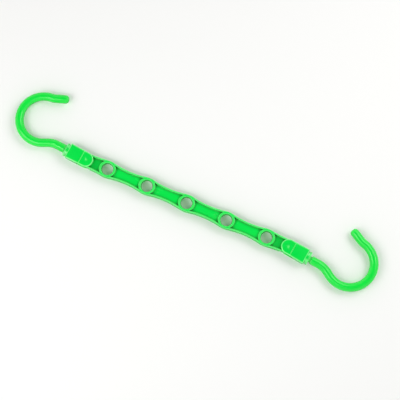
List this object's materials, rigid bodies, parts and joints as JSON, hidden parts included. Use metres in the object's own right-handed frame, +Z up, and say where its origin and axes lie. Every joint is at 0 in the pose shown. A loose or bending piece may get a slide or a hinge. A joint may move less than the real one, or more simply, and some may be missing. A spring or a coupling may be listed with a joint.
{
  "type": "clothes hanger",
  "caption": "Space-saving clothes hanger: a flat plastic bar with a row of ringed holes for coat hangers and a folding, swivelling hook at each end.",
  "frame": {"origin": "middle of the hanger's box, on the face that it lies on", "axes": "+X along the bar, to the right as the hanger lies with both hooks opening to +Y; +Z up, along the holes and the fold pins"},
  "size_m": [0.3758, 0.0686, 0.0104],
  "materials": {
    "bar_plastic": "moulded green polypropylene, glossy rims and satin channels",
    "knuckle_plastic": "moulded green polypropylene, smooth semi-gloss",
    "hook_plastic": "moulded green polypropylene, glossy"
  },
  "bodies": {
    "bar": {"five_hole_bar": "bar_plastic"},
    "left_knuckle": {"left_knuckle_front": "knuckle_plastic", "left_knuckle_back": "knuckle_plastic"},
    "left_hook": {"left_hook": "hook_plastic"},
    "right_knuckle": {"right_knuckle_front": "knuckle_plastic", "right_knuckle_back": "knuckle_plastic"},
    "right_hook": {"right_hook": "hook_plastic"}
  },
  "joints": [
    {"name": "left_fold", "type": "hinge", "parent": "bar", "child": "left_knuckle", "pos_m": [-0.1064, -0.01644, 0.0052], "axis": [0, 0, 1], "range_deg": [-85.4, 94.6]},
    {"name": "left_swivel", "type": "hinge", "parent": "left_knuckle", "child": "left_hook", "pos_m": [-0.12913, -0.01461, 0.0052], "axis": [-0.9968, 0.0802, 0], "continuous": true},
    {"name": "right_fold", "type": "hinge", "parent": "bar", "child": "right_knuckle", "pos_m": [0.10219, -0.01644, 0.0052], "axis": [0, 0, 1], "range_deg": [-83.8, 96.2]},
    {"name": "right_swivel", "type": "hinge", "parent": "right_knuckle", "child": "right_hook", "pos_m": [0.12486, -0.0189, 0.0052], "axis": [0.9942, -0.108, 0], "continuous": true}
  ]
}
